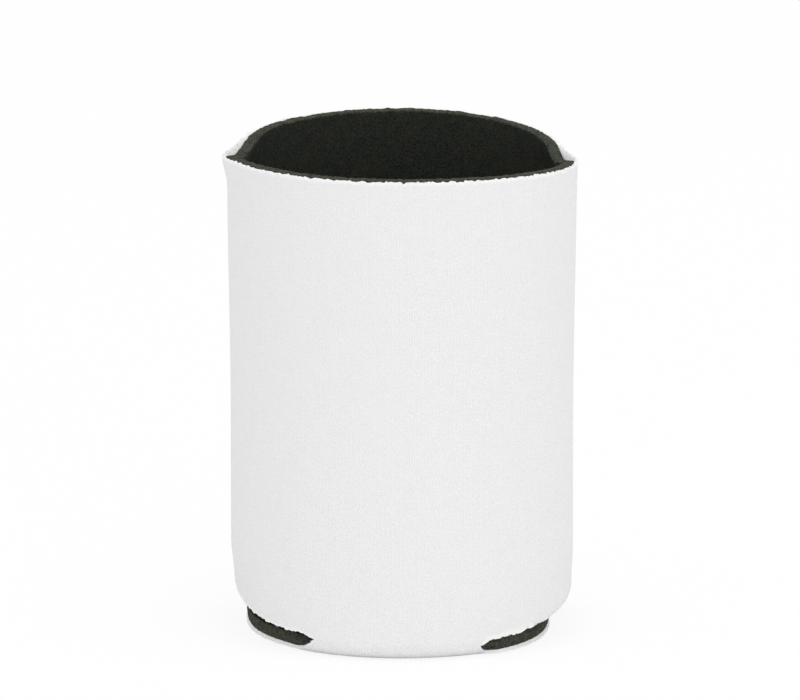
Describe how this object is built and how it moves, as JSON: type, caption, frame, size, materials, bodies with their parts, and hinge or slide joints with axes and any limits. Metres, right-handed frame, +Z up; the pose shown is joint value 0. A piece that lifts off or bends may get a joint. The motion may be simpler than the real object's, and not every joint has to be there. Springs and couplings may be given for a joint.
{
  "type": "can cooler sleeve",
  "caption": "Open-topped foam sleeve with a white knit face that keeps a drink can cool; walls folded from the base, turned side seams and crescent slots beside the base.",
  "frame": {"origin": "centre of the base, on the surface that the sleeve stands on", "axes": "+Z up out of the open mouth, -Y towards the front panel, the seams at -X and +X"},
  "size_m": [0.0736, 0.0724, 0.102],
  "materials": {
    "charcoal_foam": "dull open-cell foam",
    "white_knit": "matt fine polyester knit",
    "seam_thread": "twisted sewing thread"
  },
  "bodies": {
    "root": {"foam_core": "charcoal_foam", "fabric_cover": "white_knit", "left_seam_needle_thread": "seam_thread", "left_seam_bobbin_thread": "seam_thread", "right_seam_needle_thread": "seam_thread", "right_seam_bobbin_thread": "seam_thread"}
  },
  "joints": []
}
